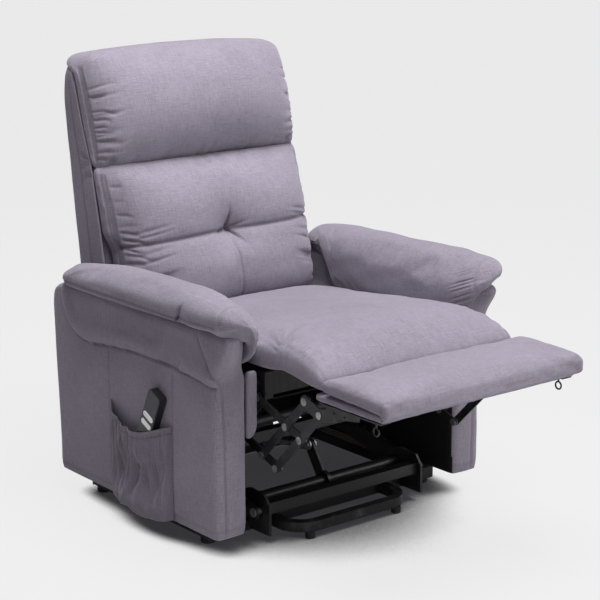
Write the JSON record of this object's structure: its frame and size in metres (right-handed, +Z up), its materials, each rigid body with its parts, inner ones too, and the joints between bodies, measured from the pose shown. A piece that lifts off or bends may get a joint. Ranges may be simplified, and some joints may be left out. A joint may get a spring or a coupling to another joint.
{
  "type": "lift recliner chair",
  "caption": "Powered lift recliner armchair with padded split back, pillow-top arms, extended leg rest, scissor linkage, tilting lift base and a pocketed handset.",
  "frame": {"origin": "on the floor, on the chair's centre plane, under the middle of its overall length with the leg rest out", "axes": "+Z up; the sitter faces -Y; +X is the sitter's left; drawn with the leg rest out, the back at its upright stop and the lift down"},
  "size_m": [0.808, 1.1064, 1.015],
  "materials": {
    "upholstery": "mauve-grey linen-weave upholstery",
    "frame_steel": "black powder coat",
    "link_steel": "dark grey coated steel",
    "zinc_steel": "zinc plated",
    "black_plastic": "moulded, fine texture",
    "clip_plastic": "natural nylon",
    "button_plastic": "satin",
    "black_rubber": "matte",
    "frame_wood": "raw timber and plywood",
    "dust_cloth": "black non-woven cloth and webbing"
  },
  "bodies": {
    "base": {"base_frame": "frame_steel", "anti_tip_loop": "frame_steel", "base_rail_caps": "black_plastic", "base_feet": "black_rubber", "base_pivot_pins": "zinc_steel", "lift_motor": "black_plastic", "lift_actuator_tube": "black_plastic"},
    "lift_arm": {"lift_shaft_and_arms": "frame_steel"},
    "front_link": {"front_lift_links": "frame_steel"},
    "lift_rod": {"lift_push_rod": "zinc_steel"},
    "chassis": {"chassis_frame": "frame_steel", "chassis_pivot_pins": "zinc_steel", "leg_motor": "black_plastic", "leg_actuator_tube": "black_plastic", "power_supply": "black_plastic", "control_box": "black_plastic", "motor_cables": "black_rubber", "seat_frame": "frame_wood", "seat_springs": "zinc_steel", "seat_spring_clips": "clip_plastic", "seat_bolts": "zinc_steel", "dust_cover": "dust_cloth", "seat_cushion": "upholstery", "left_arm_frame": "frame_wood", "right_arm_frame": "frame_wood", "left_arm_cover": "upholstery", "right_arm_cover": "upholstery", "left_arm_pad": "upholstery", "right_arm_pad": "upholstery", "arm_bolts": "zinc_steel", "front_wing_panels": "upholstery", "handset_pocket": "upholstery", "handset_cord": "black_rubber", "rear_valance": "upholstery"},
    "leg_rod": {"leg_push_rod": "zinc_steel"},
    "swing_rear": {"drive_tube": "frame_steel", "rear_leg_links": "link_steel"},
    "swing_front": {"front_leg_links": "link_steel"},
    "coupler_a": {"inner_leg_couplers": "link_steel", "inner_coupler_rivets": "zinc_steel"},
    "coupler_b": {"outer_leg_couplers": "link_steel", "outer_coupler_rivets": "zinc_steel"},
    "footrest": {"footrest_brackets": "frame_steel", "footrest_rivets": "zinc_steel", "footrest_hooks": "frame_steel", "footrest_board": "frame_wood", "footrest_screws": "zinc_steel", "footrest_cushion": "upholstery"},
    "chaise": {"chaise_pad": "upholstery"},
    "backrest": {"back_frame": "frame_wood", "back_webbing": "dust_cloth", "back_shell": "upholstery", "recline_brackets": "frame_steel", "back_bolts": "zinc_steel", "lumbar_cushion": "upholstery", "headrest_cushion": "upholstery"},
    "handset": {"handset_body": "black_plastic"},
    "button_up": {"handset_button_up": "button_plastic"},
    "button_down": {"handset_button_down": "button_plastic"}
  },
  "joints": [
    {"name": "lift", "type": "hinge", "parent": "base", "child": "lift_arm", "pos_m": [0, -0.03825, 0.075], "axis": [1, 0, 0], "range_deg": [0, 48]},
    {"name": "chassis_tilt", "type": "hinge", "parent": "lift_arm", "child": "chassis", "pos_m": [0, 0.29935, 0.14], "axis": [1, 0, 0], "range_deg": [-21, 1]},
    {"name": "front_link_swing", "type": "hinge", "parent": "base", "child": "front_link", "pos_m": [0, -0.09025, 0.0685], "axis": [1, 0, 0], "range_deg": [-1, 60]},
    {"name": "lift_actuator", "type": "slide", "parent": "base", "child": "lift_rod", "axis": [0, -0.9848, 0.1736], "range_m": [-0.001, 0.0725]},
    {"name": "footrest", "type": "hinge", "parent": "chassis", "child": "footrest", "pos_m": [0, -0.19325, 0.408], "axis": [1, 0, 0], "range_deg": [0, 88]},
    {"name": "rear_leg_link", "type": "hinge", "parent": "chassis", "child": "swing_rear", "pos_m": [0, -0.04324, 0.255], "axis": [1, 0, 0], "range_deg": [-1, 89]},
    {"name": "front_leg_link", "type": "hinge", "parent": "chassis", "child": "swing_front", "pos_m": [0, -0.12324, 0.3366], "axis": [1, 0, 0], "range_deg": [-1, 89]},
    {"name": "inner_coupler", "type": "hinge", "parent": "swing_rear", "child": "coupler_a", "pos_m": [0, -0.14661, 0.21738], "axis": [1, 0, 0], "range_deg": [-89, 1]},
    {"name": "outer_coupler", "type": "hinge", "parent": "swing_rear", "child": "coupler_b", "pos_m": [0, -0.1936, 0.20028], "axis": [1, 0, 0], "range_deg": [-89, 1]},
    {"name": "chaise_fold", "type": "hinge", "parent": "chassis", "child": "chaise", "pos_m": [0, -0.19325, 0.408], "axis": [1, 0, 0], "range_deg": [-1, 45]},
    {"name": "leg_actuator", "type": "slide", "parent": "chassis", "child": "leg_rod", "axis": [0, -1, 0], "range_m": [-0.001, 0.078]},
    {"name": "recline", "type": "hinge", "parent": "chassis", "child": "backrest", "pos_m": [0, 0.36675, 0.33], "axis": [-1, 0, 0], "range_deg": [0, 40]},
    {"name": "handset_lift_out", "type": "slide", "parent": "chassis", "child": "handset", "axis": [0, -0.4226, 0.9063], "range_m": [0, 0.12]},
    {"name": "button_up_press", "type": "slide", "parent": "handset", "child": "button_up", "axis": [1, 0, 0], "range_m": [0, 0.0012], "stiffness_N_per_m": 400, "springref_m": -0.0005},
    {"name": "button_down_press", "type": "slide", "parent": "handset", "child": "button_down", "axis": [1, 0, 0], "range_m": [0, 0.0012], "stiffness_N_per_m": 400, "springref_m": -0.0005}
  ],
  "couplings": [
    {"joint": "chassis_tilt", "follows": "lift", "ratio": -0.41392},
    {"joint": "front_link_swing", "follows": "lift", "ratio": 1.2123},
    {"joint": "lift_actuator", "follows": "lift", "m_per_rad": 0.085032},
    {"joint": "rear_leg_link", "follows": "footrest", "ratio": 1},
    {"joint": "front_leg_link", "follows": "footrest", "ratio": 1},
    {"joint": "inner_coupler", "follows": "footrest", "ratio": -1},
    {"joint": "outer_coupler", "follows": "footrest", "ratio": -1},
    {"joint": "chaise_fold", "follows": "footrest", "ratio": 0.5},
    {"joint": "leg_actuator", "follows": "footrest", "m_per_rad": 0.0503}
  ]
}
